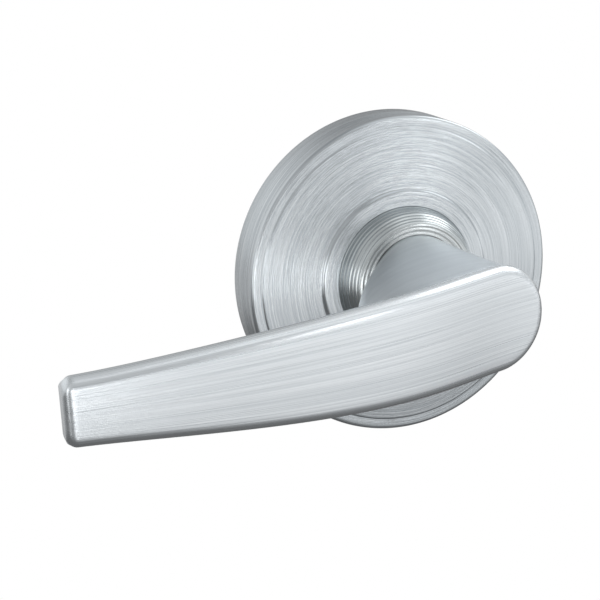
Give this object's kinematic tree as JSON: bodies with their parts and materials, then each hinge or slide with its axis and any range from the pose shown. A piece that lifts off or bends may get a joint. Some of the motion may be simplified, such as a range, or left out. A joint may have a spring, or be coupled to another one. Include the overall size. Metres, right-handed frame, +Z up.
{
  "type": "lever door handle lockset",
  "caption": "Outside half of a passage lever lockset: curved lever, round rose with spring cage, through-bolt posts, and the cylindrical chassis with its retractor.",
  "frame": {"origin": "on the spindle axis, in the plane of the door face that the rose rests on", "axes": "-Y out of the door towards the user, +Y into the door, +Z up, -X towards the lever's tip, +X towards the latch edge of the door"},
  "size_m": [0.1524, 0.1287, 0.086],
  "materials": {
    "satin_chrome_lever": "satin chrome, brushed along the lever",
    "satin_chrome_rose": "satin chrome, brushed round the axis",
    "satin_chrome_collar": "satin chrome with fine turning rings",
    "zinc_plated_steel": "bright zinc plate",
    "zinc_casting": "as cast, matte",
    "spring_steel": "drawn wire, oiled",
    "sintered_bronze": "sintered, matte"
  },
  "bodies": {
    "lockset_body": {"rose": "satin_chrome_rose", "rose_collar": "satin_chrome_collar", "neck_bush": "sintered_bronze", "spring_cage": "zinc_casting", "cage_plate": "zinc_plated_steel", "cage_screw_1": "zinc_plated_steel", "cage_screw_2": "zinc_plated_steel", "cage_screw_3": "zinc_plated_steel", "cage_screw_4": "zinc_plated_steel", "upper_post": "zinc_plated_steel", "lower_post": "zinc_plated_steel", "thrust_washer": "sintered_bronze", "left_return_spring": "spring_steel", "right_return_spring": "spring_steel", "outer_hub": "zinc_casting", "hub_nut": "zinc_plated_steel", "chassis_case": "zinc_plated_steel", "inner_hub": "zinc_casting", "inner_cam": "zinc_plated_steel", "inner_spindle": "zinc_plated_steel", "upper_retractor_spring": "spring_steel", "lower_retractor_spring": "spring_steel"},
    "handle": {"lever": "satin_chrome_lever", "outside_spindle": "zinc_plated_steel", "retaining_ring": "spring_steel", "drive_plate": "zinc_plated_steel", "outer_cam": "zinc_plated_steel", "catch_spring": "spring_steel"},
    "catch": {"lever_catch": "zinc_plated_steel"},
    "retractor": {"retractor": "zinc_casting"}
  },
  "joints": [
    {"name": "handle_turn", "type": "hinge", "parent": "lockset_body", "child": "handle", "pos_m": [0, 0, 0], "axis": [0, -1, 0], "range_deg": [0, 50], "stiffness_Nm_per_rad": 0.9, "springref_deg": -28.65, "deforming": ["left_return_spring", "right_return_spring"]},
    {"name": "retractor_slide", "type": "slide", "parent": "lockset_body", "child": "retractor", "axis": [-1, 0, 0], "range_m": [0, 0.0127], "deforming": ["upper_retractor_spring", "lower_retractor_spring"]},
    {"name": "catch_press", "type": "slide", "parent": "handle", "child": "catch", "axis": [0, 0, 1], "range_m": [0, 0.0028], "stiffness_N_per_m": 300, "springref_m": -0.002, "deforming": ["catch_spring"]}
  ],
  "couplings": [
    {"joint": "retractor_slide", "follows": "handle_turn", "m_per_rad": 0.0145}
  ]
}
